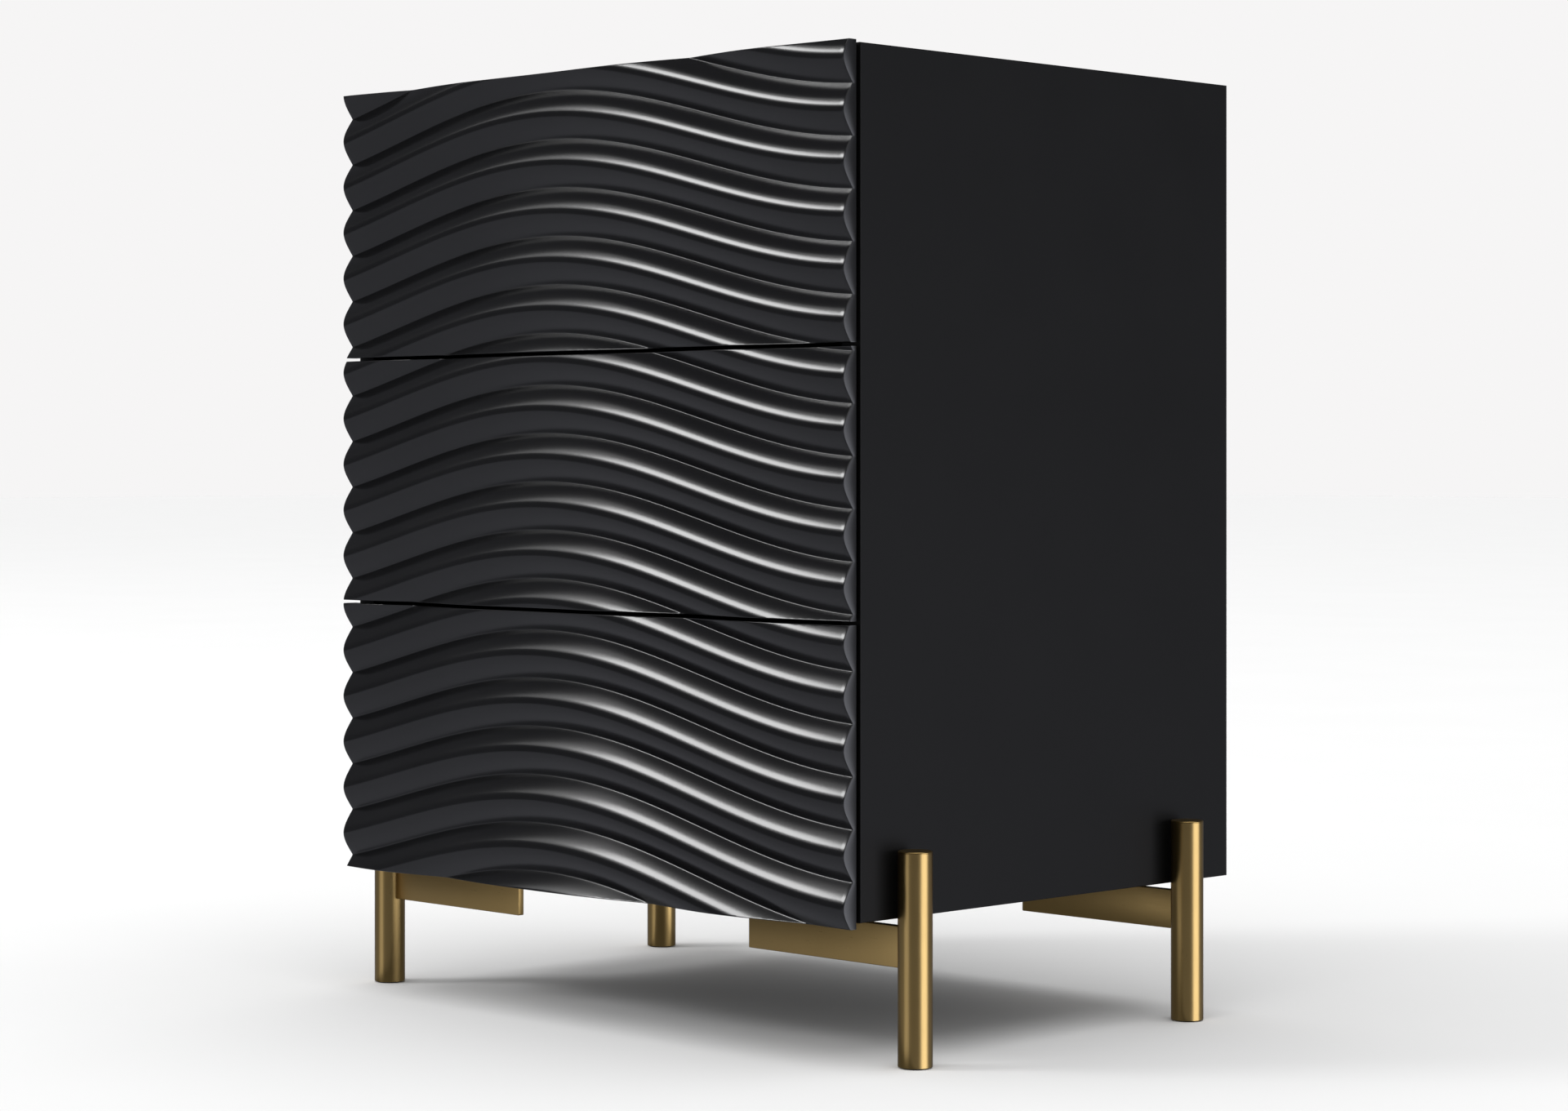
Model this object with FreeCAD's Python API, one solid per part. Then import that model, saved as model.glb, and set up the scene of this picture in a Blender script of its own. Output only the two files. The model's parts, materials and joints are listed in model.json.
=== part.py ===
import FreeCAD, Part
import math
import os

# Three-drawer bedside cabinet on four brass tube legs. Millimetres, +Z up.
# X runs left to right, the drawer fronts face -Y, and the origin is on the
# floor under the middle of the overall box.

# Cabinet shell
cabinetWidth = 500.0
cabinetDepth = 366.0
cabinetBottom = 92.5
cabinetTop = 639.8
panelThickness = 16.0
panelEdgeRadius = 0.6
backThickness = 3.0
backInset = 10.0
grooveDepth = 7.0
grooveClearance = 0.2

# Drawer fronts: one carved pattern that runs over all three
frontTop = 641.2
frontHeights = {"top": 188.0, "middle": 170.8, "bottom": 188.8}
frontGap = 2.3
shadowGap = 3.7
frontThickness = 11.3
fluteDepth = 8.5
flutePitch = 32.72
crestHalfWidth = 10.0
firstValleyDrop = 3.3
waveAmplitude = 24.6
waveLength = 621.0
wavePeakX = -39.5

# Drawer boxes
boxThickness = 12.0
boxHeight = 130.0
boxDepth = 330.0
boxLift = {"top": 17.0, "middle": 17.0, "bottom": 33.0}
floorThickness = 5.0
floorHeight = 8.0
floorGrooveDepth = 6.0

# Three-part ball-bearing slides, one pair to a drawer
slideSpace = 12.7
slideLength = 300.0
slideSetback = 3.0
slideHeight = 45.0
slideMetal = 1.2
ballSpace = 3.0

# Legs
legRadius = 11.0
legWall = 1.5
legTop = 135.7
legSideClearance = 0.9
legFrontY = 37.0
legRearY = 307.3
capThickness = 1.2
glideHeight = 0.8
glidePlugLength = 14.0
barThickness = 5.0
barHeight = 26.5
barInnerX = 115.3
plateThickness = 4.7
plateInnerX = 125.0
plateOuterX = 215.0
plateHalfDepth = 20.0

# Fasteners
screwClearance = 0.15
legScrew = {"radius": 2.0, "length": 16.0, "headRadius": 4.0, "headHeight": 2.4}
slideScrew = {"radius": 1.75, "length": 12.0, "headRadius": 3.5, "headHeight": 1.8}
frontScrew = {"radius": 2.0, "length": 17.0, "headRadius": 4.0, "headHeight": 2.2}
dowelRadius = 4.0
dowelLength = 30.0
dowelInSide = 12.0
camRadius = 7.5
camHeight = 12.5
camSetback = 24.0
camBoltRadius = 2.8
camBoltInSide = 11.0

# Worked-out positions
overallDepth = frontThickness + shadowGap + cabinetDepth
crestY = -overallDepth / 2
frontBackY = crestY + frontThickness
cabinetFrontY = frontBackY + shadowGap
cabinetBackY = cabinetFrontY + cabinetDepth
innerHalfWidth = cabinetWidth / 2 - panelThickness
boxHalfWidth = innerHalfWidth - slideSpace
legX = cabinetWidth / 2 + legSideClearance + legRadius
legYs = {"front": cabinetFrontY + legFrontY, "rear": cabinetFrontY + legRearY}
barTop = cabinetBottom - plateThickness
drawerNames = ["top", "middle", "bottom"]
sideSigns = {"left": -1, "right": 1}


def vec(x, y, z):
    return FreeCAD.Vector(x, y, z)


def boxFromTo(x0, x1, y0, y1, z0, z1):
    low = vec(min(x0, x1), min(y0, y1), min(z0, z1))
    return Part.makeBox(abs(x1 - x0), abs(y1 - y0), abs(z1 - z0), low)


def cylinderFromTo(radius, start, end):
    axis = end - start
    return Part.makeCylinder(radius, axis.Length, start, axis)


def cutAll(shape, tools):
    return shape.cut(Part.makeCompound(tools)).removeSplitter()


def screwSolid(size, seat, direction):
    # seat is where the underside of the head rests, direction points into the work
    head = cylinderFromTo(size["headRadius"], seat - direction * size["headHeight"], seat)
    shank = cylinderFromTo(size["radius"], seat, seat + direction * size["length"])
    return head.fuse(shank).removeSplitter()


def screwHole(size, seat, direction):
    end = seat + direction * (size["length"] + 0.3)
    return cylinderFromTo(size["radius"] + screwClearance, seat - direction * 0.1, end)


def frontLimits(name):
    top = frontTop
    for other in drawerNames:
        bottom = top - frontHeights[other]
        if other == name:
            return bottom, top
        top = bottom - frontGap


def boxLimits(name):
    bottom = frontLimits(name)[0] + boxLift[name]
    return bottom, bottom + boxHeight


def waveHeight(x):
    return waveAmplitude * math.cos(2 * math.pi * (x - wavePeakX) / waveLength)


def valleyMeans(name):
    # The carved pattern carries on from front to front as if the gaps were not there
    skipped = drawerNames.index(name) * frontGap
    start = frontTop - firstValleyDrop - skipped
    bottom, top = frontLimits(name)
    first = math.ceil((start - top - waveAmplitude) / flutePitch) - 2
    last = math.floor((start - bottom + waveAmplitude) / flutePitch) + 2
    return [start - k * flutePitch for k in range(first, last + 1)]


def crestNear(name, x, z):
    crests = [mean - flutePitch / 2 + waveHeight(x) for mean in valleyMeans(name)]
    return min(crests, key=lambda crest: abs(crest - z))


def flankAngle():
    # Straight flank plus tangent crest arc together make the flute depth
    run = flutePitch / 2 - crestHalfWidth
    low, high = 0.1, 1.2
    for step in range(60):
        angle = (low + high) / 2
        if run * math.tan(angle) + crestHalfWidth * math.tan(angle / 2) > fluteDepth:
            high = angle
        else:
            low = angle
    return angle


def fluteWire(name, x):
    # Closed section in the plane X = x: the carved ribs and a flat back
    angle = flankAngle()
    rise = (flutePitch / 2 - crestHalfWidth) * math.tan(angle)
    valleyY = crestY + fluteDepth
    offset = waveHeight(x)
    means = valleyMeans(name)
    edges = []
    for upper, lower in zip(means[:-1], means[1:]):
        middle = (upper + lower) / 2 + offset
        start = vec(x, valleyY, upper + offset)
        arcStart = vec(x, valleyY - rise, middle + crestHalfWidth)
        crest = vec(x, crestY, middle)
        arcEnd = vec(x, valleyY - rise, middle - crestHalfWidth)
        end = vec(x, valleyY, lower + offset)
        edges.append(Part.makeLine(start, arcStart))
        edges.append(Part.Arc(arcStart, crest, arcEnd).toShape())
        edges.append(Part.makeLine(arcEnd, end))
    highFront = vec(x, valleyY, means[0] + offset)
    highBack = vec(x, frontBackY, means[0] + offset)
    lowBack = vec(x, frontBackY, means[-1] + offset)
    lowFront = vec(x, valleyY, means[-1] + offset)
    edges.append(Part.makeLine(lowFront, lowBack))
    edges.append(Part.makeLine(lowBack, highBack))
    edges.append(Part.makeLine(highBack, highFront))
    return Part.Wire(Part.__sortEdges__(edges))


def flutedPanel(name):
    # The section slides, without turning, along the cosine wave, then is trimmed
    half = cabinetWidth / 2 + 6
    steps = 34
    xs = [-half + 2 * half * k / steps for k in range(steps + 1)]
    points = [vec(x, frontBackY, waveHeight(x)) for x in xs]
    curve = Part.BSplineCurve()
    curve.interpolate(points)
    path = Part.Wire([curve.toShape()])
    sweep = Part.BRepOffsetAPI.MakePipeShell(path)
    sweep.setTrihedronMode(vec(0, 0, 0), vec(1, 0, 0))
    sweep.add(fluteWire(name, -half), False, False)
    sweep.build()
    sweep.makeSolid()
    bottom, top = frontLimits(name)
    blank = boxFromTo(-cabinetWidth / 2, cabinetWidth / 2, crestY - 1, frontBackY, bottom, top)
    return sweep.shape().common(blank)


def frontScrewSeats(name):
    low, high = boxLimits(name)
    seatY = frontBackY + boxThickness
    seats = []
    for x in [-150.0, 150.0]:
        for z in [low + 38, high - 28]:
            seats.append(vec(x, seatY, crestNear(name, x, z)))
    return seats


def drawerFront(name):
    holes = [screwHole(frontScrew, seat, vec(0, -1, 0)) for seat in frontScrewSeats(name)]
    return cutAll(flutedPanel(name), holes)


def slideCentre(name):
    low, high = boxLimits(name)
    return (low + high) / 2


def slideStartY():
    return cabinetFrontY + slideSetback


def slideScrewYs():
    return [slideStartY() + 35, slideStartY() + slideLength - 35]


def cabinetSlideSeats(name, sign):
    x = sign * (innerHalfWidth - slideMetal)
    return [vec(x, y, slideCentre(name)) for y in slideScrewYs()]


def drawerSlideSeats(name, sign):
    x = sign * (boxHalfWidth + slideMetal)
    return [vec(x, y, slideCentre(name)) for y in slideScrewYs()]


def jointDowels(sign, z):
    # Dowels run along X from the side panel into the end of the top or bottom panel
    start = sign * (innerHalfWidth + dowelInSide)
    end = start - sign * dowelLength
    return [(vec(start, y, z), vec(end, y, z)) for y in [-100.0, 100.0]]


def jointCams(sign, z):
    # Each cam bolt runs from the side panel to its cam disc in the panel end
    start = sign * (innerHalfWidth + camBoltInSide)
    centre = sign * (innerHalfWidth - camSetback)
    return [(vec(start, y, z), vec(centre, y, z)) for y in [-60.0, 60.0]]


def jointHeights():
    return [cabinetBottom + panelThickness / 2, cabinetTop - panelThickness / 2]


def jointTools(sign, z):
    tools = []
    for start, end in jointDowels(sign, z):
        along = vec(sign, 0, 0)
        tools.append(cylinderFromTo(dowelRadius + 0.15, start + along * 0.3, end - along * 0.5))
    for start, centre in jointCams(sign, z):
        along = vec(sign, 0, 0)
        tools.append(cylinderFromTo(camBoltRadius + 0.25, start + along * 0.3, centre))
    return tools


def backGroove():
    half = innerHalfWidth + grooveDepth
    outer = cabinetBackY - backInset
    low = cabinetBottom + panelThickness - grooveDepth
    high = cabinetTop - panelThickness + grooveDepth
    return boxFromTo(-half, half, outer - backThickness - grooveClearance, outer, low, high)


def sidePanel(side):
    sign = sideSigns[side]
    panel = boxFromTo(sign * innerHalfWidth, sign * cabinetWidth / 2, cabinetFrontY, cabinetBackY,
                      cabinetBottom, cabinetTop)
    outer = [edge for edge in panel.Edges
             if all(abs(abs(v.X) - cabinetWidth / 2) < 0.01 for v in edge.Vertexes)]
    panel = panel.makeFillet(panelEdgeRadius, outer)
    tools = [backGroove()]
    for z in jointHeights():
        tools += jointTools(sign, z)
    for name in drawerNames:
        for seat in cabinetSlideSeats(name, sign):
            tools.append(screwHole(slideScrew, seat, vec(sign, 0, 0)))
    return cutAll(panel, tools)


def legScrewSeats(side, row):
    sign = sideSigns[side]
    seats = []
    for x in [plateInnerX + 10, plateOuterX - 10]:
        for offset in [-13.0, 13.0]:
            seats.append(vec(sign * x, legYs[row] + offset, barTop))
    return seats


def crossPanel(z):
    # Top or bottom panel between the sides; its cam discs drop in from below
    panel = boxFromTo(-innerHalfWidth, innerHalfWidth, cabinetFrontY, cabinetBackY,
                      z - panelThickness / 2, z + panelThickness / 2)
    tools = [backGroove()]
    for sign in sideSigns.values():
        tools += jointTools(sign, z)
        for start, centre in jointCams(sign, z):
            base = vec(centre.x, centre.y, z - panelThickness / 2 - 0.1)
            tools.append(cylinderFromTo(camRadius + 0.2, base, base + vec(0, 0, camHeight + 0.6)))
    return cutAll(panel, tools)


def topPanel():
    return crossPanel(jointHeights()[1])


def bottomPanel():
    holes = []
    for side in sideSigns:
        for row in legYs:
            for seat in legScrewSeats(side, row):
                holes.append(screwHole(legScrew, seat, vec(0, 0, 1)))
    return cutAll(crossPanel(jointHeights()[0]), holes)


def backPanel():
    half = innerHalfWidth + grooveDepth - grooveClearance
    outer = cabinetBackY - backInset - grooveClearance / 2
    low = cabinetBottom + panelThickness - grooveDepth + grooveClearance
    high = cabinetTop - panelThickness + grooveDepth - grooveClearance
    return boxFromTo(-half, half, outer - backThickness, outer, low, high)


def carcassDowels():
    dowels = []
    for sign in sideSigns.values():
        for z in jointHeights():
            for start, end in jointDowels(sign, z):
                pin = cylinderFromTo(dowelRadius, start, end)
                dowels.append(pin.makeChamfer(0.8, [e for e in pin.Edges if e.Closed]))
    return Part.makeCompound(dowels)


def camDiscs():
    discs = []
    for sign in sideSigns.values():
        for z in jointHeights():
            for start, centre in jointCams(sign, z):
                base = vec(centre.x, centre.y, z - panelThickness / 2)
                disc = cylinderFromTo(camRadius, base, base + vec(0, 0, camHeight))
                bore = cylinderFromTo(camBoltRadius + 0.25, start, centre)
                slot = boxFromTo(centre.x - 4, centre.x + 4, centre.y - 0.8, centre.y + 0.8,
                                 base.z - 1, base.z + 2)
                discs.append(cutAll(disc, [bore, slot]))
    return Part.makeCompound(discs)


def camBolts():
    bolts = []
    for sign in sideSigns.values():
        for z in jointHeights():
            for start, centre in jointCams(sign, z):
                tip = centre + vec(sign * 1.0, 0, 0)
                bolts.append(cylinderFromTo(camBoltRadius, start, tip))
    return Part.makeCompound(bolts)


def legCentre(side, row):
    return vec(sideSigns[side] * legX, legYs[row], 0)


def legTube(side, row):
    foot = legCentre(side, row) + vec(0, 0, glideHeight)
    head = legCentre(side, row) + vec(0, 0, legTop - capThickness)
    outer = cylinderFromTo(legRadius, foot, head)
    return outer.cut(cylinderFromTo(legRadius - legWall, foot, head))


def legCaps():
    caps = []
    for side in sideSigns:
        for row in legYs:
            base = legCentre(side, row) + vec(0, 0, legTop - capThickness)
            cap = cylinderFromTo(legRadius, base, base + vec(0, 0, capThickness))
            rim = [e for e in cap.Edges if e.Closed and abs(e.CenterOfMass.z - legTop) < 0.01]
            caps.append(cap.makeFillet(0.7, rim))
    return Part.makeCompound(caps)


def footGlides():
    # Plastic plugs pushed up into the tubes; only their soft-edged faces stand proud
    glides = []
    for side in sideSigns:
        for row in legYs:
            base = legCentre(side, row)
            plug = cylinderFromTo(legRadius - legWall - 0.2, base,
                                  base + vec(0, 0, glideHeight + glidePlugLength))
            rim = [e for e in plug.Edges if e.Closed and abs(e.CenterOfMass.z) < 0.01]
            glides.append(plug.makeFillet(0.6, rim))
    return Part.makeCompound(glides)


def legBar(side, row):
    # Flat bar on edge, its outer end coped to sit against the round tube
    sign = sideSigns[side]
    y = legYs[row]
    bar = boxFromTo(sign * barInnerX, sign * legX, y - barThickness / 2, y + barThickness / 2,
                    barTop - barHeight, barTop)
    centre = legCentre(side, row)
    cope = cylinderFromTo(legRadius + 0.05, centre, centre + vec(0, 0, legTop))
    return bar.cut(cope)


def legPlate(side, row):
    sign = sideSigns[side]
    y = legYs[row]
    plate = boxFromTo(sign * plateInnerX, sign * plateOuterX, y - plateHalfDepth,
                      y + plateHalfDepth, barTop, cabinetBottom)
    corners = [e for e in plate.Edges if abs(e.Length - plateThickness) < 0.01]
    plate = plate.makeFillet(5.0, corners)
    return cutAll(plate, [screwHole(legScrew, seat, vec(0, 0, 1)) for seat in legScrewSeats(side, row)])


def legScrews():
    screws = []
    for side in sideSigns:
        for row in legYs:
            screws += [screwSolid(legScrew, seat, vec(0, 0, 1)) for seat in legScrewSeats(side, row)]
    return Part.makeCompound(screws)


def slideChannel(sign, webStart, webEnd, flangeEnd, height, centreZ):
    # A C-shaped channel along Y; the X values are distances in from the side panel
    def inFrom(distance):
        return sign * (innerHalfWidth - distance)
    y0 = slideStartY()
    y1 = y0 + slideLength
    z0 = centreZ - height / 2
    z1 = centreZ + height / 2
    web = boxFromTo(inFrom(webStart), inFrom(webEnd), y0, y1, z0, z1)
    low = boxFromTo(inFrom(webStart), inFrom(flangeEnd), y0, y1, z0, z0 + slideMetal)
    high = boxFromTo(inFrom(webStart), inFrom(flangeEnd), y0, y1, z1 - slideMetal, z1)
    return web.multiFuse([low, high]).removeSplitter()


def slideOuter(name):
    # Cabinet member, screwed to the side panels
    members = []
    for sign in sideSigns.values():
        member = slideChannel(sign, 0, slideMetal, 10.0, slideHeight, slideCentre(name))
        holes = [screwHole(slideScrew, seat, vec(sign, 0, 0)) for seat in cabinetSlideSeats(name, sign)]
        members.append(cutAll(member, holes))
    return Part.makeCompound(members)


def slideMiddle(name):
    height = slideHeight - 2 * (slideMetal + ballSpace)
    members = [slideChannel(sign, 4.0, 4.0 + slideMetal, 11.0, height, slideCentre(name))
               for sign in sideSigns.values()]
    return Part.makeCompound(members)


def slideInner(name):
    # Drawer member, screwed to the drawer sides and open towards the cabinet
    height = slideHeight - 4 * (slideMetal + ballSpace)
    members = []
    for sign in sideSigns.values():
        member = slideChannel(sign, slideSpace, slideSpace - slideMetal, 6.2, height,
                              slideCentre(name))
        holes = [screwHole(slideScrew, seat, vec(-sign, 0, 0)) for seat in drawerSlideSeats(name, sign)]
        members.append(cutAll(member, holes))
    return Part.makeCompound(members)


def cabinetSlideScrews():
    screws = []
    for name in drawerNames:
        for sign in sideSigns.values():
            for seat in cabinetSlideSeats(name, sign):
                screws.append(screwSolid(slideScrew, seat, vec(sign, 0, 0)))
    return Part.makeCompound(screws)


def drawerSlideScrews(name):
    screws = []
    for sign in sideSigns.values():
        for seat in drawerSlideSeats(name, sign):
            screws.append(screwSolid(slideScrew, seat, vec(-sign, 0, 0)))
    return Part.makeCompound(screws)


def drawerFrontScrews(name):
    return Part.makeCompound([screwSolid(frontScrew, seat, vec(0, -1, 0))
                              for seat in frontScrewSeats(name)])


def floorGroove(name):
    low = boxLimits(name)[0] + floorHeight
    half = boxHalfWidth - boxThickness + floorGrooveDepth
    y0 = frontBackY + boxThickness - floorGrooveDepth
    y1 = frontBackY + boxDepth - boxThickness + floorGrooveDepth
    return boxFromTo(-half, half, y0, y1, low, low + floorThickness + grooveClearance)


def drawerSide(name, side):
    sign = sideSigns[side]
    low, high = boxLimits(name)
    board = boxFromTo(sign * (boxHalfWidth - boxThickness), sign * boxHalfWidth,
                      frontBackY, frontBackY + boxDepth, low, high)
    tools = [floorGroove(name)]
    for seat in drawerSlideSeats(name, sign):
        tools.append(screwHole(slideScrew, seat, vec(-sign, 0, 0)))
    return cutAll(board, tools)


def drawerCrossBoard(name, y0):
    low, high = boxLimits(name)
    half = boxHalfWidth - boxThickness
    return boxFromTo(-half, half, y0, y0 + boxThickness, low, high).cut(floorGroove(name))


def drawerInnerFront(name):
    holes = [screwHole(frontScrew, seat, vec(0, -1, 0)) for seat in frontScrewSeats(name)]
    return cutAll(drawerCrossBoard(name, frontBackY), holes)


def drawerBack(name):
    return drawerCrossBoard(name, frontBackY + boxDepth - boxThickness)


def drawerFloor(name):
    low = boxLimits(name)[0] + floorHeight
    half = boxHalfWidth - boxThickness + floorGrooveDepth - grooveClearance
    y0 = frontBackY + boxThickness - floorGrooveDepth + grooveClearance
    y1 = frontBackY + boxDepth - boxThickness + floorGrooveDepth - grooveClearance
    return boxFromTo(-half, half, y0, y1, low, low + floorThickness)


def cabinetNodes():
    nodes = {
        "top_panel": topPanel(),
        "bottom_panel": bottomPanel(),
        "left_side_panel": sidePanel("left"),
        "right_side_panel": sidePanel("right"),
        "back_panel": backPanel(),
        "carcass_dowels": carcassDowels(),
        "carcass_cam_discs": camDiscs(),
        "carcass_cam_bolts": camBolts(),
        "leg_caps": legCaps(),
        "leg_foot_glides": footGlides(),
        "leg_screws": legScrews(),
        "slide_screws_cabinet": cabinetSlideScrews(),
    }
    for side in sideSigns:
        for row in legYs:
            nodes["leg_tube_" + row + "_" + side] = legTube(side, row)
            nodes["leg_bar_" + row + "_" + side] = legBar(side, row)
            nodes["leg_plate_" + row + "_" + side] = legPlate(side, row)
    return nodes


def drawerNodes(name):
    return {
        name + "_slide_outer": slideOuter(name),
        name + "_slide_middle": slideMiddle(name),
        name + "_slide_inner": slideInner(name),
        name + "_slide_screws": drawerSlideScrews(name),
        name + "_drawer_front": drawerFront(name),
        name + "_front_screws": drawerFrontScrews(name),
        name + "_drawer_inner_front": drawerInnerFront(name),
        name + "_drawer_left_side": drawerSide(name, "left"),
        name + "_drawer_right_side": drawerSide(name, "right"),
        name + "_drawer_back": drawerBack(name),
        name + "_drawer_floor": drawerFloor(name),
    }


os.makedirs("parts", exist_ok=True)
allNodes = cabinetNodes()
for drawerName in drawerNames:
    allNodes.update(drawerNodes(drawerName))
for nodeName, shape in allNodes.items():
    shape.exportStep("parts/" + nodeName + ".step")
    print(nodeName, len(shape.Solids), shape.isValid(), round(shape.Volume / 1000, 2))
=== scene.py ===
import bpy
import bmesh
import json
import math
import numpy as np
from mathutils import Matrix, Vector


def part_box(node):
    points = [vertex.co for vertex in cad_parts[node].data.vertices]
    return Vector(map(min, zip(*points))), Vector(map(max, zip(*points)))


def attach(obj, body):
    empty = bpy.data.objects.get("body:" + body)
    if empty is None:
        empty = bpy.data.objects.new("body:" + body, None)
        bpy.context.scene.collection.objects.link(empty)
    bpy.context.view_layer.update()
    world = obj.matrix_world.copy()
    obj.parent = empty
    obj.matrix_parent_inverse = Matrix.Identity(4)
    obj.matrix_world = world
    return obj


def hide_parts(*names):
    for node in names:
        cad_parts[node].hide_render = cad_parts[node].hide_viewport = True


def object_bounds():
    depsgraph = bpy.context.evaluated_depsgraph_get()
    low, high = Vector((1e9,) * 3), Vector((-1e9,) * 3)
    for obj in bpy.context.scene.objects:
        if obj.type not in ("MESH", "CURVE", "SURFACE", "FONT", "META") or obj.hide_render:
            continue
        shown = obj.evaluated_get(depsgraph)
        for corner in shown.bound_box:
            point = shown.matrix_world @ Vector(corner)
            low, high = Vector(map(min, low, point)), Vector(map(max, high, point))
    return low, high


# Bedside cabinet: black lacquered shell, three carved drawer fronts, four brass legs.
# Metres, +Z up, fronts towards -Y, the floor is Z = 0.

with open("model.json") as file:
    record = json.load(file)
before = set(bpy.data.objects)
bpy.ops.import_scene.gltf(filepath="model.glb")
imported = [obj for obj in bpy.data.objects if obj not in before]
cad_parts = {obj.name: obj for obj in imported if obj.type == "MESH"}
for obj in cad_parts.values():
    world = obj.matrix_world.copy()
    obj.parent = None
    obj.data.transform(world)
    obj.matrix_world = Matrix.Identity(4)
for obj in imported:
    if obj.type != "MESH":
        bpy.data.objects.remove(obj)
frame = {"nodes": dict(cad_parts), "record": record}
cadLow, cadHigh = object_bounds()
nodes = frame["nodes"]
drawerNames = ["top", "middle", "bottom"]
legPlaces = [(row, side) for row in ["front", "rear"] for side in ["left", "right"]]


# Where the viewer stands: level, a little above the middle of the cabinet, off its front right corner
view = {
    "place": (1.78639, -1.77157, 0.37953),
    "turn": 45.135,       # degrees about Z, the camera is level
    "lens": 81.96,        # mm
    "shiftY": -0.06025,
    "sensor": 36.0,
    "nearest": 0.05,
    "farthest": 60.0,
}


def makeCamera():
    # a level camera, its picture shifted to frame the legs
    data = bpy.data.cameras.new("camera")
    data.sensor_fit = "HORIZONTAL"
    data.sensor_width = view["sensor"]
    data.lens = view["lens"]
    data.shift_y = view["shiftY"]
    data.clip_start = view["nearest"]
    data.clip_end = view["farthest"]
    camera = bpy.data.objects.new("camera", data)
    camera.location = view["place"]
    camera.rotation_euler = (math.radians(90), 0, math.radians(view["turn"]))
    bpy.context.scene.collection.objects.link(camera)
    bpy.context.scene.camera = camera


makeCamera()
bpy.context.scene.view_settings.view_transform = "Standard"
print("camera placed")


def gridMesh(name, points, wrapColumns=False):
    # points is rows x columns x 3: each cell of the grid becomes one quad, and wrapColumns
    # joins the last column to the first
    rows, columns = points.shape[:2]
    index = np.arange(rows * columns).reshape(rows, columns)
    if wrapColumns:
        index = np.hstack([index, index[:, :1]])
    quads = np.stack([index[:-1, :-1], index[:-1, 1:], index[1:, 1:], index[1:, :-1]], axis=-1)
    mesh = bpy.data.meshes.new(name)
    mesh.from_pydata(points.reshape(-1, 3).tolist(), [], quads.reshape(-1, 4).tolist())
    piece = bpy.data.objects.new(name, mesh)
    bpy.context.scene.collection.objects.link(piece)
    return piece


weldDistance = 2e-6
thinnestFace = 1e-7


def tidyMesh(piece, smoothAngle=30.0):
    # welds coincident points, closes open rims, turns faces outwards, and smooths all but sharp edges
    work = bmesh.new()
    work.from_mesh(piece.data)
    bmesh.ops.remove_doubles(work, verts=work.verts, dist=weldDistance)
    bmesh.ops.dissolve_degenerate(work, edges=work.edges, dist=thinnestFace)
    rim = [edge for edge in work.edges if edge.is_boundary]
    bmesh.ops.holes_fill(work, edges=rim, sides=0)
    bmesh.ops.recalc_face_normals(work, faces=work.faces)
    work.to_mesh(piece.data)
    work.free()
    piece.data.shade_smooth()
    piece.data.set_sharp_from_angle(angle=math.radians(smoothAngle))
    return piece


def joinPieces(name, pieces):
    # several meshes of one kind become one piece, and the single ones go
    work = bmesh.new()
    for piece in pieces:
        work.from_mesh(piece.data)
    mesh = bpy.data.meshes.new(name)
    work.to_mesh(mesh)
    work.free()
    for piece in pieces:
        old = piece.data
        bpy.data.objects.remove(piece)
        bpy.data.meshes.remove(old)
    joined = bpy.data.objects.new(name, mesh)
    bpy.context.scene.collection.objects.link(joined)
    return joined


carving = {
    "pitch": 0.03272,        # valley to valley, straight up
    "flankSlope": 0.862,     # the slope that the flanks tend to
    "crestRound": 0.009,     # larger is rounder
    "valleyRound": 0.0003,   # radius of the root between two ribs
    "firstValley": 0.0033,   # below the top edge of the top front, at the wave's mean
    "amplitude": 0.0246,     # the wave that all the ribs follow
    "waveLength": 0.621,
    "peakX": -0.0395,
    "gap": 0.0023,           # between one front and the next
    "edgeRound": 0.0005,
    "edgeSteps": [0.0, 0.06, 0.25, 0.6],  # where the round edge is cut, in edge radii
    "columns": 150,
    "pointsPerFlank": 26,
    "crowding": 0.8,         # how far the points gather at crests and valleys, 0 to 1
    "ribsAbove": 3,          # more ribs than any front shows, so that each is cut from plenty
    "ribsBelow": 22,
    "smoothAngle": 40.0,
}


def ribSection():
    # One rib from valley to valley. Its face is a hyperbola: round at the crest and ever
    # straighter towards the valleys, where a small root blends it into the next rib.
    # out = slope * (sqrt(half^2 + round^2) - sqrt(fromCrest^2 + round^2))
    half, crest = carving["pitch"] / 2, carving["crestRound"]
    step = np.linspace(0, 1, carving["pointsPerFlank"] + 1)
    height = half * (step - carving["crowding"] * np.sin(2 * math.pi * step) / (2 * math.pi))
    fromCrest = half - np.hypot(height, carving["valleyRound"])
    out = carving["flankSlope"] * (math.hypot(half, crest) - np.hypot(fromCrest, crest))
    return np.concatenate([height, 2 * half - height[-2::-1]]), np.concatenate([out, out[-2::-1]])


def waveAt(x):
    # cosine wave that every rib follows across the fronts
    return carving["amplitude"] * np.cos(2 * math.pi * (x - carving["peakX"]) / carving["waveLength"])


def edgeDrop(distance):
    # quarter-round edge: how far the surface falls back at this distance from the edge
    r = carving["edgeRound"]
    near = np.clip(r - distance, 0, r)
    return r - np.sqrt(np.maximum(r ** 2 - near ** 2, 0))


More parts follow.
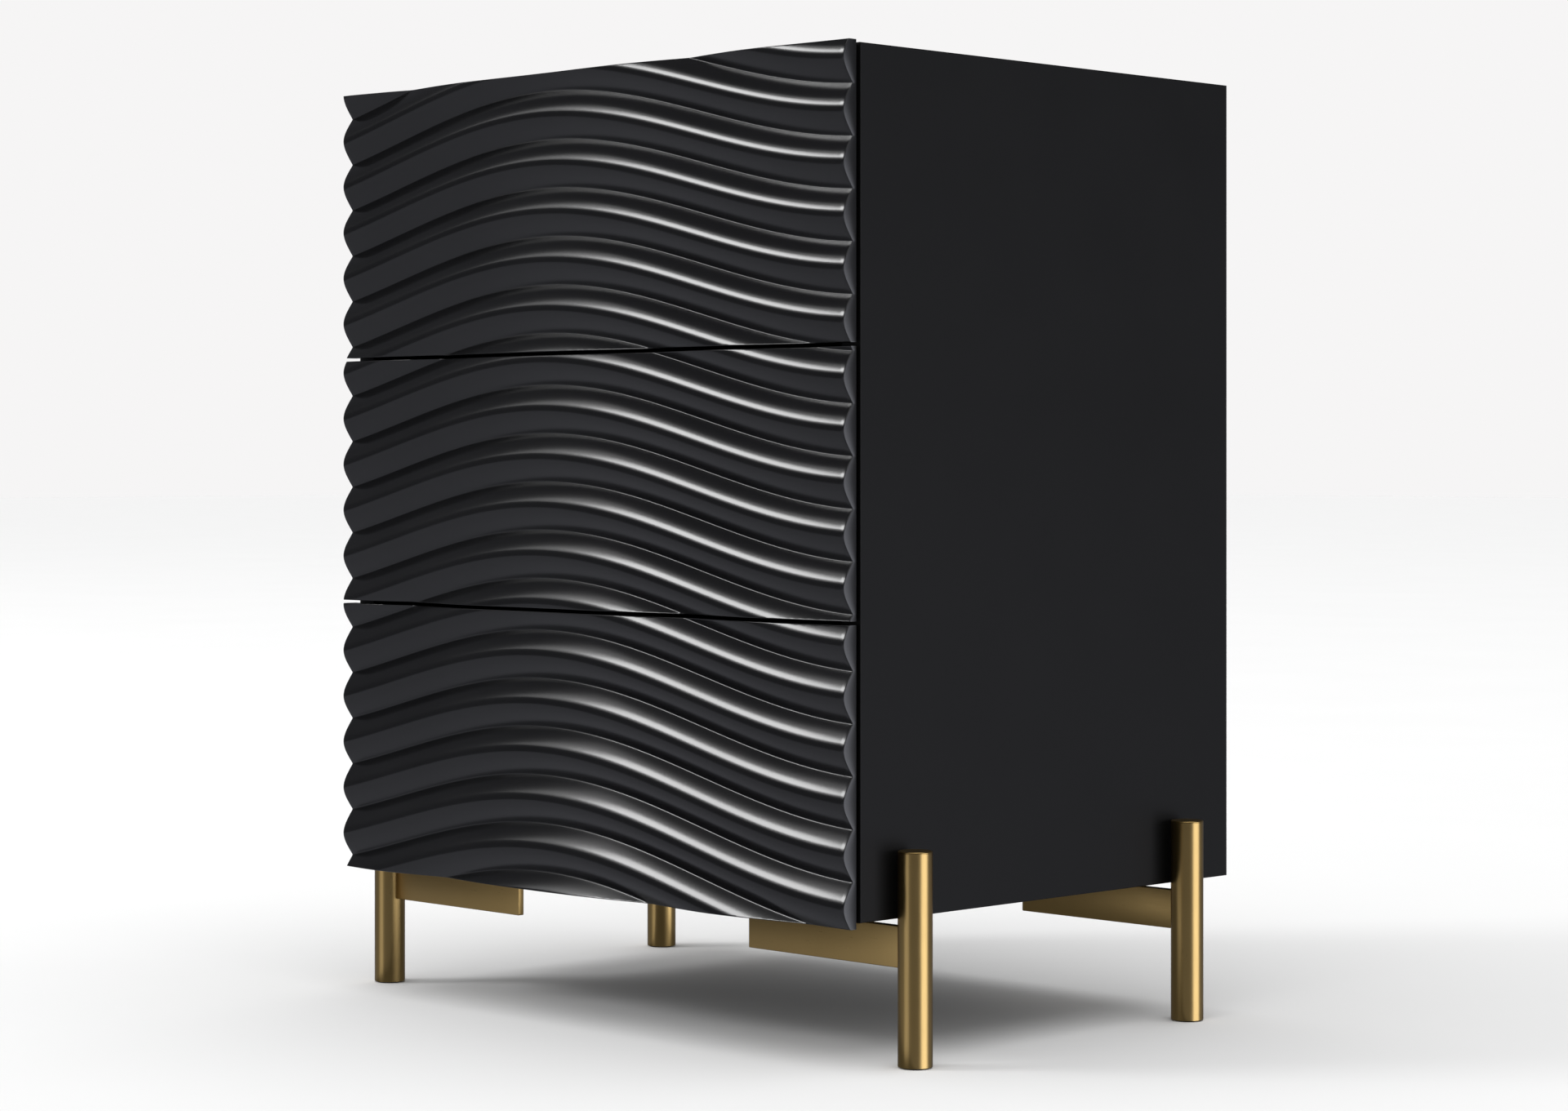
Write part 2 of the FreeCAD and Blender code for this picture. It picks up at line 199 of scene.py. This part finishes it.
def carvedFront(name, order):
    # A slab whose face stands out by the rib section, read at each point's height less the wave,
    # and falls back by a quarter round at its four edges. Rows follow the ribs, and are cut off
    # level at the top and bottom edges.
    low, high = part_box(name + "_drawer_front")
    section, out = ribSection()
    section, out = section[:-1], out[:-1]
    start = cadHigh.z - carving["firstValley"] - order * carving["gap"]
    ribs = np.arange(-carving["ribsAbove"], carving["ribsBelow"])
    alongWave = (start - carving["pitch"] * ribs[::-1, None] + section[None, :]).ravel()
    standOut = np.tile(out, len(ribs))
    r = carving["edgeRound"]
    curl = r * np.array(carving["edgeSteps"])
    x = np.linspace(low.x + r, high.x - r, carving["columns"])
    x = np.concatenate([[low.x], low.x + curl, x, high.x - curl[::-1], [high.x]])
    wave = waveAt(x)[None, :]
    z = np.clip(alongWave[:, None] + wave, low.z + r, high.z - r)
    keep = (z.max(1) > low.z + r) & (z.min(1) < high.z - r)
    z = z[keep]
    below = np.repeat((low.z + np.concatenate([[0], curl]))[:, None], len(x), axis=1)
    above = np.repeat((high.z - np.concatenate([[0], curl]))[::-1, None], len(x), axis=1)
    z = np.vstack([below, z, above])
    lift = np.interp(z - wave, alongWave, standOut)
    fall = np.minimum(edgeDrop(x - low.x) + edgeDrop(high.x - x), r)[None, :]
    fall = np.minimum(fall + edgeDrop(z - low.z) + edgeDrop(high.z - z), r)
    y = low.y + out.max() - lift + fall
    y[0, :] = y[-1, :] = high.y
    y[:, 0] = y[:, -1] = high.y
    points = np.stack([np.broadcast_to(x[None, :], z.shape), y, z], axis=-1)
    piece = tidyMesh(gridMesh(name + "_carved_front", points), carving["smoothAngle"])
    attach(piece, name + "_drawer")
    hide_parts(name + "_drawer_front")
    return piece


fronts = [carvedFront(name, order) for order, name in enumerate(drawerNames)]
print("carved fronts made,", sum(len(piece.data.polygons) for piece in fronts), "faces")


leg = {
    "around": 96,
    "rim": 0.0008,       # rounded rim of the end cap
    "seam": 0.00012,     # hairline between tube and cap
    "endRing": 0.0015,   # width of the ring at the foot of the tube
    "barRound": 0.0006,
    "barReach": 0.0008,  # the bar runs this far into the tube
    "glideRim": 0.0006,  # soft edge of the plug under each tube
    "roundSteps": 6,     # cuts of each rounded rim
    "barSteps": 5,
}


def turned(name, centre, radius, height):
    # a profile of radii and heights turned about a vertical axis through centre
    angle = np.linspace(0, 2 * math.pi, leg["around"], endpoint=False)
    radius, height = np.asarray(radius)[:, None], np.asarray(height)[:, None]
    x = centre[0] + radius * np.cos(angle)
    y = centre[1] + radius * np.sin(angle)
    z = height + np.zeros_like(angle)
    return tidyMesh(gridMesh(name, np.stack([x, y, z], axis=-1), wrapColumns=True))


def softBar(name, low, high, r):
    # a rectangular bar with rounded long edges and ends: its rounded section is carried
    # along X and shrinks by the quarter round at each end
    turn = np.linspace(0, math.pi / 2, leg["barSteps"])
    corner = np.stack([np.cos(turn), np.sin(turn)], axis=-1)
    signs = [(1, 1), (-1, 1), (-1, -1), (1, -1)]
    section = []
    for k, (sy, sz) in enumerate(signs):
        bend = corner if k % 2 == 0 else corner[::-1]
        section.append(np.stack([sy * (bend[:, 0] * r - r), sz * (bend[:, 1] * r - r)], axis=-1)
                       + np.array([[sy, sz]]) * np.array([[(high[1] - low[1]) / 2, (high[2] - low[2]) / 2]]))
    section = np.concatenate(section)
    middle = np.array([(high[1] + low[1]) / 2, (high[2] + low[2]) / 2])
    along = np.concatenate([low[0] + r * (1 - np.sin(turn[::-1])), high[0] - r * (1 - np.sin(turn))])
    inset = np.concatenate([r * (1 - np.cos(turn[::-1])), r * (1 - np.cos(turn))])
    size = np.array([[high[1] - low[1], high[2] - low[2]]])
    rings = []
    for x, shrink in zip(along, inset):
        ring = section * (size - 2 * shrink) / size + middle
        rings.append(np.column_stack([np.full(len(ring), x), ring]))
    return tidyMesh(gridMesh(name, np.stack(rings), wrapColumns=True))


def legTube(row, side):
    # a plain tube, its two ends drawn in by the width of the hairline seam
    low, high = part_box(f"leg_tube_{row}_{side}")
    r = (high.x - low.x) / 2
    centre = ((low.x + high.x) / 2, (low.y + high.y) / 2)
    s = leg["seam"]
    radius = [0, r - leg["endRing"], r - s, r, r, r, r - s, 0]
    height = [low.z, low.z, low.z, low.z + s, (low.z + high.z) / 2, high.z - s, high.z, high.z]
    piece = turned(f"leg_tube_shell_{row}_{side}", centre, radius, height)
    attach(piece, "cabinet")
    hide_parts(f"leg_tube_{row}_{side}")
    return piece


def legCapSet():
    # a disc on each tube: a seam below, a quarter-round rim and a flat face above
    low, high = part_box("leg_caps")
    caps = []
    for row, side in legPlaces:
        tubeLow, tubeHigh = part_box(f"leg_tube_{row}_{side}")
        r = (tubeHigh.x - tubeLow.x) / 2
        centre = ((tubeLow.x + tubeHigh.x) / 2, (tubeLow.y + tubeHigh.y) / 2)
        turn = np.linspace(0, math.pi / 2, leg["roundSteps"])
        rim = leg["rim"]
        radius = np.concatenate([[0, r - leg["seam"], r], r - rim + rim * np.cos(turn), [r - 2 * rim, 0]])
        height = np.concatenate([[low.z, low.z, low.z + leg["seam"]], high.z - rim + rim * np.sin(turn),
                                 [high.z, high.z]])
        caps.append(turned("cap", centre, radius, height))
    piece = joinPieces("leg_cap_set", caps)
    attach(piece, "cabinet")
    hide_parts("leg_caps")
    return piece


def legBar(row, side):
    # the flat bar, reaching a little into the tube at its outer end
    low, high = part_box(f"leg_bar_{row}_{side}")
    start = low.x - (leg["barReach"] if side == "left" else 0)
    end = high.x + (leg["barReach"] if side == "right" else 0)
    piece = softBar(f"leg_bar_flat_{row}_{side}", (start, low.y, low.z), (end, high.y, high.z),
                    leg["barRound"])
    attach(piece, "cabinet")
    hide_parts(f"leg_bar_{row}_{side}")
    return piece


def footGlideSet():
    # plugs pushed up into the tubes: a flat face, a quarter-round rim and a straight shank
    low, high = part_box("leg_foot_glides")
    firstLow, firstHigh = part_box("leg_tube_front_left")
    r = (firstLow.x + firstHigh.x) / 2 - low.x
    rim = leg["glideRim"]
    turn = np.linspace(-math.pi / 2, 0, leg["roundSteps"])
    radius = np.concatenate([[0], r - rim + rim * np.cos(turn), [r, 0]])
    height = np.concatenate([[low.z], low.z + rim + rim * np.sin(turn), [high.z, high.z]])
    glides = []
    for row, side in legPlaces:
        tubeLow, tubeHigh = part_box(f"leg_tube_{row}_{side}")
        centre = ((tubeLow.x + tubeHigh.x) / 2, (tubeLow.y + tubeHigh.y) / 2)
        glides.append(turned("glide", centre, radius, height))
    piece = joinPieces("foot_glide_set", glides)
    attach(piece, "cabinet")
    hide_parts("leg_foot_glides")
    return piece


tubes = [legTube(row, side) for row, side in legPlaces]
bars = [legBar(row, side) for row, side in legPlaces]
caps = legCapSet()
glides = footGlideSet()
print("legs made")


def linearColour(hexText):
    # sRGB to linear: c / 12.92 up to 0.04045, else ((c + 0.055) / 1.055) to the power 2.4
    channels = [int(hexText[k:k + 2], 16) / 255 for k in (1, 3, 5)]
    return [c / 12.92 if c <= 0.04045 else ((c + 0.055) / 1.055) ** 2.4 for c in channels] + [1.0]


def addNode(tree, kind, settings=None, links=None):
    # settings fill sockets of that name, or else the node's own properties
    node = tree.nodes.new(kind)
    for key, value in (settings or {}).items():
        if key in node.inputs:
            node.inputs[key].default_value = value
        else:
            setattr(node, key, value)
    for key, socket in (links or {}).items():
        tree.links.new(socket, node.inputs[key])
    return node


# In the finishes below, sizes across a pattern are in mm, and heights of its relief in metres.


def perMillimetre(size):
    # noise scale, per metre, for features of this many millimetres
    return 1000.0 / size


def newMaterial(name):
    # one shader straight to the output, and the object's own coordinates for its patterns
    material = bpy.data.materials.new(name)
    material.use_nodes = True
    tree = material.node_tree
    tree.nodes.clear()
    output = addNode(tree, "ShaderNodeOutputMaterial")
    shader = addNode(tree, "ShaderNodeBsdfPrincipled")
    tree.links.new(shader.outputs["BSDF"], output.inputs["Surface"])
    coords = addNode(tree, "ShaderNodeTexCoord").outputs["Object"]
    return material, tree, shader, coords


lacquer = {
    "passSize": 90.0,        # mm across the overlaps of the spray passes
    "passStart": 0.3,
    "passEnd": 0.7,
    "peelSize": 3.0,         # mm across the orange peel
    "peelHeight": 0.00004,
    # tones, roughness from and to, strength of the peel, specular level
    "front": ("#0b0b0c", "#0f0f10", 0.15, 0.19, 0.12, 0.5),
    "carcass": ("#0b0b0b", "#0e0e0e", 0.42, 0.5, 0.2, 0.17),
}


def sprayedLacquer(name, dark, light, roughLow, roughHigh, peel, specular):
    # Sprayed pigmented lacquer on MDF: even black, with faint orange peel, and slightly
    # uneven gloss where the spray passes overlap
    material, tree, shader, coords = newMaterial(name)
    cloud = addNode(tree, "ShaderNodeTexNoise", {"Scale": perMillimetre(lacquer["passSize"]), "Detail": 3.0},
                    {"Vector": coords})
    tint = addNode(tree, "ShaderNodeValToRGB", None, {"Fac": cloud.outputs["Fac"]})
    tint.color_ramp.elements[0].color = linearColour(dark)
    tint.color_ramp.elements[1].color = linearColour(light)
    tint.color_ramp.elements[0].position = lacquer["passStart"]
    tint.color_ramp.elements[1].position = lacquer["passEnd"]
    gloss = addNode(tree, "ShaderNodeMapRange", {"To Min": roughLow, "To Max": roughHigh},
                    {"Value": cloud.outputs["Fac"]})
    grain = addNode(tree, "ShaderNodeTexNoise", {"Scale": perMillimetre(lacquer["peelSize"]), "Detail": 2.0},
                    {"Vector": coords})
    bump = addNode(tree, "ShaderNodeBump", {"Strength": peel, "Distance": lacquer["peelHeight"]},
                   {"Height": grain.outputs["Fac"]})
    tree.links.new(tint.outputs["Color"], shader.inputs["Base Color"])
    tree.links.new(gloss.outputs["Result"], shader.inputs["Roughness"])
    tree.links.new(bump.outputs["Normal"], shader.inputs["Normal"])
    shader.inputs["Specular IOR Level"].default_value = specular
    return material


brass = {
    "dark": "#a68b58",
    "light": "#b0955f",
    "patchSize": 35.0,       # mm across the slow changes of tone
    "streakSize": 0.7,       # mm between brush streaks, coarser than real so that they show
    "streakStretch": 0.04,   # the pattern is squeezed to this much along the brushing
    "streakStrength": 0.15,
    "streakHeight": 0.00003,
    "roughLow": 0.24,
    "roughHigh": 0.36,
}


def satinBrass(name, streakScale):
    # Drawn brass, brushed along its length and clear coated: warm yellow, with soft
    # reflections and fine streaks
    material, tree, shader, coords = newMaterial(name)
    stretch = addNode(tree, "ShaderNodeMapping", {"Scale": streakScale}, {"Vector": coords})
    streak = addNode(tree, "ShaderNodeTexNoise", {"Scale": perMillimetre(brass["streakSize"]), "Detail": 4.0},
                     {"Vector": stretch.outputs["Vector"]})
    patch = addNode(tree, "ShaderNodeTexNoise", {"Scale": perMillimetre(brass["patchSize"]), "Detail": 3.0},
                    {"Vector": coords})
    tint = addNode(tree, "ShaderNodeValToRGB", None, {"Fac": patch.outputs["Fac"]})
    tint.color_ramp.elements[0].color = linearColour(brass["dark"])
    tint.color_ramp.elements[1].color = linearColour(brass["light"])
    rough = addNode(tree, "ShaderNodeMapRange", {"To Min": brass["roughLow"], "To Max": brass["roughHigh"]},
                    {"Value": streak.outputs["Fac"]})
    bump = addNode(tree, "ShaderNodeBump",
                   {"Strength": brass["streakStrength"], "Distance": brass["streakHeight"]},
                   {"Height": streak.outputs["Fac"]})
    tree.links.new(tint.outputs["Color"], shader.inputs["Base Color"])
    tree.links.new(rough.outputs["Result"], shader.inputs["Roughness"])
    tree.links.new(bump.outputs["Normal"], shader.inputs["Normal"])
    shader.inputs["Metallic"].default_value = 1.0
    return material


zinc = {"pale": "#b9bcc0", "deep": "#9b9ea3", "spangleSize": 5.0, "roughLow": 0.3, "roughHigh": 0.45}


def zincSteel():
    # Cold-rolled steel strip, zinc plated: pale grey with a faint spangle
    material, tree, shader, coords = newMaterial("zinc_plated_steel")
    spangle = addNode(tree, "ShaderNodeTexVoronoi", {"Scale": perMillimetre(zinc["spangleSize"])},
                      {"Vector": coords})
    tint = addNode(tree, "ShaderNodeValToRGB", None, {"Fac": spangle.outputs["Distance"]})
    tint.color_ramp.elements[0].color = linearColour(zinc["pale"])
    tint.color_ramp.elements[1].color = linearColour(zinc["deep"])
    rough = addNode(tree, "ShaderNodeMapRange", {"To Min": zinc["roughLow"], "To Max": zinc["roughHigh"]},
                    {"Value": spangle.outputs["Distance"]})
    tree.links.new(tint.outputs["Color"], shader.inputs["Base Color"])
    tree.links.new(rough.outputs["Result"], shader.inputs["Roughness"])
    shader.inputs["Metallic"].default_value = 1.0
    return material


board = {"grainSize": 1.6, "grainStrength": 0.3, "grainHeight": 0.00006, "rough": 0.55}


def melamineBoard(name, dark, light):
    # Melamine-faced board: matt printed paper under resin, with a fine pressed grain
    material, tree, shader, coords = newMaterial(name)
    grain = addNode(tree, "ShaderNodeTexNoise", {"Scale": perMillimetre(board["grainSize"]), "Detail": 5.0},
                    {"Vector": coords})
    tint = addNode(tree, "ShaderNodeValToRGB", None, {"Fac": grain.outputs["Fac"]})
    tint.color_ramp.elements[0].color = linearColour(dark)
    tint.color_ramp.elements[1].color = linearColour(light)
    bump = addNode(tree, "ShaderNodeBump",
                   {"Strength": board["grainStrength"], "Distance": board["grainHeight"]},
                   {"Height": grain.outputs["Fac"]})
    tree.links.new(tint.outputs["Color"], shader.inputs["Base Color"])
    tree.links.new(bump.outputs["Normal"], shader.inputs["Normal"])
    shader.inputs["Roughness"].default_value = board["rough"]
    return material


beech = {"dark": "#b98a5c", "light": "#e0bd92", "fleckSize": 1.2, "alongGrain": 0.12, "rough": 0.6}


def beechDowel():
    # Turned beech: pale pink-brown with short darker flecks along the grain
    material, tree, shader, coords = newMaterial("beech")
    stretch = addNode(tree, "ShaderNodeMapping", {"Scale": (beech["alongGrain"], 1.0, 1.0)},
                      {"Vector": coords})
    fleck = addNode(tree, "ShaderNodeTexNoise", {"Scale": perMillimetre(beech["fleckSize"]), "Detail": 6.0},
                    {"Vector": stretch.outputs["Vector"]})
    tint = addNode(tree, "ShaderNodeValToRGB", None, {"Fac": fleck.outputs["Fac"]})
    tint.color_ramp.elements[0].color = linearColour(beech["dark"])
    tint.color_ramp.elements[1].color = linearColour(beech["light"])
    tree.links.new(tint.outputs["Color"], shader.inputs["Base Color"])
    shader.inputs["Roughness"].default_value = beech["rough"]
    return material


foot = {"dark": "#151515", "light": "#222222", "grainSize": 0.5, "grainStrength": 0.4,
        "grainHeight": 0.00005, "rough": 0.5}


def glidePlastic():
    # Moulded polyethylene foot: matt black with a fine spark-eroded grain
    material, tree, shader, coords = newMaterial("moulded_polyethylene")
    grain = addNode(tree, "ShaderNodeTexNoise", {"Scale": perMillimetre(foot["grainSize"]), "Detail": 2.0},
                    {"Vector": coords})
    tint = addNode(tree, "ShaderNodeValToRGB", None, {"Fac": grain.outputs["Fac"]})
    tint.color_ramp.elements[0].color = linearColour(foot["dark"])
    tint.color_ramp.elements[1].color = linearColour(foot["light"])
    bump = addNode(tree, "ShaderNodeBump",
                   {"Strength": foot["grainStrength"], "Distance": foot["grainHeight"]},
                   {"Height": grain.outputs["Fac"]})
    tree.links.new(tint.outputs["Color"], shader.inputs["Base Color"])
    tree.links.new(bump.outputs["Normal"], shader.inputs["Normal"])
    shader.inputs["Roughness"].default_value = foot["rough"]
    return material


finishes = {
    "black_lacquer_front": sprayedLacquer("satin_black_lacquer", *lacquer["front"]),
    "black_lacquer_carcass": sprayedLacquer("matt_black_lacquer", *lacquer["carcass"]),
    "back_board": melamineBoard("painted_hardboard", "#1a1a1a", "#242424"),
    "drawer_board": melamineBoard("charcoal_melamine", "#2b2b2d", "#37373a"),
    "beech_dowel": beechDowel(),
    "brass_satin": satinBrass("satin_brass", (1.0, 1.0, brass["streakStretch"])),
    "slide_steel": zincSteel(),
    "glide_plastic": glidePlastic(),
}
finishes["zinc_hardware"] = finishes["slide_steel"]
barBrass = satinBrass("satin_brass_bar", (brass["streakStretch"], 1.0, 1.0))


def wear(piece, material):
    # the piece gets this one material
    piece.data.materials.clear()
    piece.data.materials.append(material)


slotOf = {part["node"]: part["material_slot"] for part in frame["record"]["subparts"]}
for nodeName, node in nodes.items():
    for slot in node.material_slots:
        slot.material = finishes[slotOf[nodeName]]
for piece in fronts:
    wear(piece, finishes["black_lacquer_front"])
for piece in tubes + [caps]:
    wear(piece, finishes["brass_satin"])
for piece in bars:
    wear(piece, barBrass)
wear(glides, finishes["glide_plastic"])
print("materials set")


studio = {
    "floorHalf": 30.0,
    "backdrop": "#f6f5f5",
    "fill": 0.6,                # what the floor and matt surfaces gather from all round
    "glossHorizon": 0.13,       # what shiny surfaces find at eye level: a dim room
    "glossBelow": 0.42,         # looking down: the pale floor
    "belowStart": -0.12,        # it comes in between these slopes
    "belowEnd": -0.18,
    "glossAbove": 0.10,         # and looking up: the ceiling, all in at this slope
    "aboveEnd": 0.6,
    # paler patches of floor that the legs mirror: azimuth and reach in degrees, strength
    "patches": [(16.0, 27.0, 2.8), (-106.0, 17.0, 0.75)],
    "patchDip": -0.14,          # how far below level they lie
    "patchFull": 0.7,           # a patch is at full strength within this much of its reach
    "shade": 0.12,              # the shaded floor under the cabinet, as the legs mirror it
    "glossTint": "#f2f4ff",     # cool daylight in what shiny surfaces find
    "sunStrength": 1.45,
    "sunAngle": 70.0,
    "sunPlace": (0.3, -0.3, 3.0),
    "keyTarget": (0.0, cadLow.y, 0.37),
    # azimuth, distance, lower edge, upper edge, width, radiance
    "keyCore": (-132, 9.0, 4.60, 7.20, 2.4, 13.5),
    "keyHalo": (-135, 9.1, 3.60, 8.60, 4.2, 1.5),
    "floorDark": "#ededed",
    "floorLight": "#f0f0f0",
    "floorRough": 0.9,
    "speckScale": 3.0,
}


def makeFloor():
    # a large square of pale matt floor at Z = 0
    half = studio["floorHalf"]
    corners = np.array([[[-half, -half, 0], [half, -half, 0]], [[-half, half, 0], [half, half, 0]]], float)
    floor = gridMesh("floor", corners)
    material, tree, shader, coords = newMaterial("pale_floor")
    speck = addNode(tree, "ShaderNodeTexNoise", {"Scale": studio["speckScale"], "Detail": 4.0},
                    {"Vector": coords})
    tint = addNode(tree, "ShaderNodeValToRGB", None, {"Fac": speck.outputs["Fac"]})
    tint.color_ramp.elements[0].color = linearColour(studio["floorDark"])
    tint.color_ramp.elements[1].color = linearColour(studio["floorLight"])
    tree.links.new(tint.outputs["Color"], shader.inputs["Base Color"])
    shader.inputs["Roughness"].default_value = studio["floorRough"]
    shader.inputs["Specular IOR Level"].default_value = 0.0
    floor.visible_glossy = False
    wear(floor, material)


def makeShade():
    # the cabinet's shadow on the floor, for shiny surfaces only, since they don't find the floor
    points = np.array([[[cadLow.x, cadLow.y, 0], [cadHigh.x, cadLow.y, 0]],
                       [[cadLow.x, cadHigh.y, 0], [cadHigh.x, cadHigh.y, 0]]])
    shade = gridMesh("floor_shade", points)
    material, _, shader, _ = newMaterial("shaded_floor")
    shader.inputs["Base Color"].default_value = linearColour("#000000")
    shader.inputs["Specular IOR Level"].default_value = 0.0
    shader.inputs["Emission Color"].default_value = linearColour("#ffffff")
    shader.inputs["Emission Strength"].default_value = studio["shade"]
    shade.visible_camera = False
    shade.visible_diffuse = False
    shade.visible_shadow = False
    wear(shade, material)


def makeWorld():
    # the backdrop is pale, matt surfaces gather an even fill, and shiny ones find a dim room
    # that turns pale towards the floor
    world = bpy.data.worlds.new("studio")
    bpy.context.scene.world = world
    world.use_nodes = True
    tree = world.node_tree
    tree.nodes.clear()
    output = addNode(tree, "ShaderNodeOutputWorld")
    path = addNode(tree, "ShaderNodeLightPath")
    direction = addNode(tree, "ShaderNodeTexCoord").outputs["Generated"]
    height = addNode(tree, "ShaderNodeSeparateXYZ", None, {"Vector": direction}).outputs["Z"]
    below = addNode(tree, "ShaderNodeMapRange",
                    {"From Min": studio["belowStart"], "From Max": studio["belowEnd"],
                     "To Min": studio["glossHorizon"], "To Max": studio["glossBelow"]}, {"Value": height})
    above = addNode(tree, "ShaderNodeMapRange",
                    {"From Min": 0.0, "From Max": studio["aboveEnd"], "To Min": 0.0,
                     "To Max": studio["glossAbove"] - studio["glossHorizon"]}, {"Value": height})
    room = addNode(tree, "ShaderNodeMath", {"operation": "ADD"})
    tree.links.new(below.outputs["Result"], room.inputs[0])
    tree.links.new(above.outputs["Result"], room.inputs[1])
    total = room.outputs["Value"]
    for azimuth, reach, strength in studio["patches"]:
        turn, reach = math.radians(azimuth), math.radians(reach)
        aim = addNode(tree, "ShaderNodeVectorMath", {"operation": "DOT_PRODUCT"})
        tree.links.new(direction, aim.inputs[0])
        aim.inputs[1].default_value = (math.cos(turn), math.sin(turn), studio["patchDip"])
        patch = addNode(tree, "ShaderNodeMapRange",
                        {"From Min": math.cos(reach), "From Max": math.cos(reach * studio["patchFull"]),
                         "To Min": 0.0, "To Max": strength}, {"Value": aim.outputs["Value"]})
        room = addNode(tree, "ShaderNodeMath", {"operation": "ADD"})
        tree.links.new(total, room.inputs[0])
        tree.links.new(patch.outputs["Result"], room.inputs[1])
        total = room.outputs["Value"]
    gloss = addNode(tree, "ShaderNodeBackground", {"Color": linearColour(studio["glossTint"])},
                    {"Strength": total})
    fill = addNode(tree, "ShaderNodeBackground",
                   {"Color": linearColour("#ffffff"), "Strength": studio["fill"]})
    seen = addNode(tree, "ShaderNodeBackground",
                   {"Color": linearColour(studio["backdrop"]), "Strength": 1.0})
    lit = addNode(tree, "ShaderNodeMixShader", None, {"Fac": path.outputs["Is Glossy Ray"]})
    tree.links.new(fill.outputs["Background"], lit.inputs[1])
    tree.links.new(gloss.outputs["Background"], lit.inputs[2])
    mix = addNode(tree, "ShaderNodeMixShader", None, {"Fac": path.outputs["Is Camera Ray"]})
    tree.links.new(lit.outputs["Shader"], mix.inputs[1])
    tree.links.new(seen.outputs["Background"], mix.inputs[2])
    tree.links.new(mix.outputs["Shader"], output.inputs["Surface"])


def placeLamp(data, name, place, target):
    # stands the lamp at its place, its light along the line from there to the target
    lamp = bpy.data.objects.new(name, data)
    away = np.array(place) - np.array(target)
    away = away / np.linalg.norm(away)
    lamp.location = place
    lamp.rotation_euler = (math.acos(away[2]), 0, math.atan2(away[0], -away[1]))
    lamp.visible_camera = False
    bpy.context.scene.collection.objects.link(lamp)


def softbox(name, target, azimuth, distance, lowEdge, highEdge, width, radiance):
    # an upright softbox seen from the target at this azimuth, its edges at these heights;
    # its power is radiance times area times pi
    turn = math.radians(azimuth)
    middle = (lowEdge + highEdge) / 2
    place = (target[0] + distance * math.cos(turn), target[1] + distance * math.sin(turn), middle)
    data = bpy.data.lights.new(name, "AREA")
    data.shape = "RECTANGLE"
    data.size = width
    data.size_y = highEdge - lowEdge
    data.energy = radiance * width * (highEdge - lowEdge) * math.pi
    placeLamp(data, name, place, (target[0], target[1], middle))


def overheadSun():
    # soft light from above, slightly to the front right
    data = bpy.data.lights.new("overhead", "SUN")
    data.energy = studio["sunStrength"]
    data.angle = math.radians(studio["sunAngle"])
    placeLamp(data, "overhead", studio["sunPlace"], (0, 0, 0))


makeFloor()
makeShade()
makeWorld()
overheadSun()
for lampName in ["keyCore", "keyHalo"]:
    softbox(lampName, studio["keyTarget"], *studio[lampName])
print("studio set")
